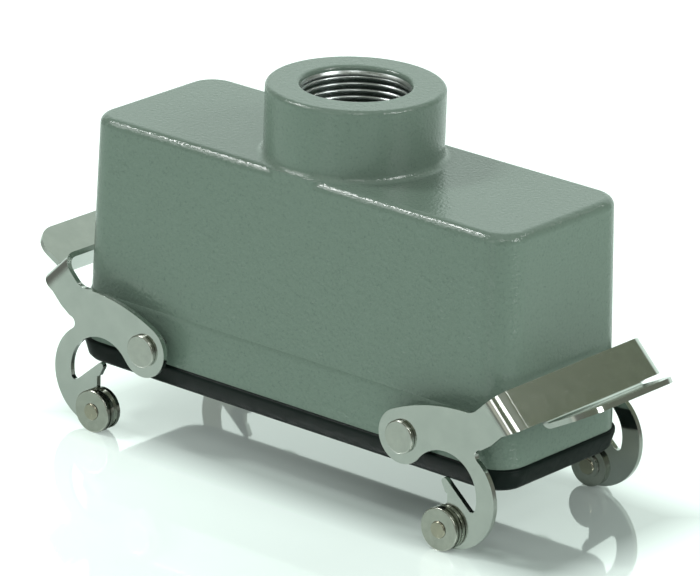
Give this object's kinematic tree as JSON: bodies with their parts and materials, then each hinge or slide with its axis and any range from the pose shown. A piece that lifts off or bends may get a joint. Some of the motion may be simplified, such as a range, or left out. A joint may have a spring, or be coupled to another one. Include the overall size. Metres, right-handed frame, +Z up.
{
  "type": "rectangular connector hood",
  "caption": "Long cast cable hood of a heavy duty rectangular connector with a top cable entry collar, a rubber rim seal and sheet-metal locking levers with rollers.",
  "frame": {"origin": "below the middle of the hood, on the surface that the four rollers stand on", "axes": "+X along the hood, +Y across it towards the back wall, +Z up out of the cable entry"},
  "size_m": [0.1572, 0.0564, 0.0855],
  "materials": {
    "hood_enamel": "glossy grey-green hammer-tone enamel on a die-cast aluminium alloy, with a fine orange-peel surface",
    "seal_rubber": "smooth black moulded rubber",
    "pin_steel": "polished stainless steel, domed edge",
    "lever_steel": "bright satin stainless sheet with polished bends",
    "roller_steel": "turned bright steel",
    "disc_steel": "turned bright steel",
    "rivet_steel": "slightly warm plated steel"
  },
  "bodies": {
    "hood": {"hood_body": "hood_enamel", "rim_seal": "seal_rubber", "pivot_pin_left_front": "pin_steel", "pivot_pin_left_back": "pin_steel", "pivot_pin_right_front": "pin_steel", "pivot_pin_right_back": "pin_steel"},
    "lever_left": {"lever_left": "lever_steel", "inner_disc_left_front": "disc_steel", "inner_disc_left_back": "disc_steel", "roller_rivet_left_front": "rivet_steel", "roller_rivet_left_back": "rivet_steel"},
    "roller_left_front": {"roller_left_front": "roller_steel"},
    "roller_left_back": {"roller_left_back": "roller_steel"},
    "lever_right": {"lever_right": "lever_steel", "inner_disc_right_front": "disc_steel", "inner_disc_right_back": "disc_steel", "roller_rivet_right_front": "rivet_steel", "roller_rivet_right_back": "rivet_steel"},
    "roller_right_front": {"roller_right_front": "roller_steel"},
    "roller_right_back": {"roller_right_back": "roller_steel"}
  },
  "joints": [
    {"name": "lever_left_swing", "type": "hinge", "parent": "hood", "child": "lever_left", "pos_m": [-0.0363, 0, 0.0218], "axis": [0, -1, 0], "range_deg": [0, 45]},
    {"name": "roller_left_front_spin", "type": "hinge", "parent": "lever_left", "child": "roller_left_front", "pos_m": [-0.0489, -0.02675, 0.0048], "axis": [0, 1, 0], "continuous": true},
    {"name": "roller_left_back_spin", "type": "hinge", "parent": "lever_left", "child": "roller_left_back", "pos_m": [-0.0489, 0.02675, 0.0048], "axis": [0, 1, 0], "continuous": true},
    {"name": "lever_right_swing", "type": "hinge", "parent": "hood", "child": "lever_right", "pos_m": [0.0363, 0, 0.0218], "axis": [0, 1, 0], "range_deg": [0, 45]},
    {"name": "roller_right_front_spin", "type": "hinge", "parent": "lever_right", "child": "roller_right_front", "pos_m": [0.0489, -0.02675, 0.0048], "axis": [0, 1, 0], "continuous": true},
    {"name": "roller_right_back_spin", "type": "hinge", "parent": "lever_right", "child": "roller_right_back", "pos_m": [0.0489, 0.02675, 0.0048], "axis": [0, 1, 0], "continuous": true}
  ]
}
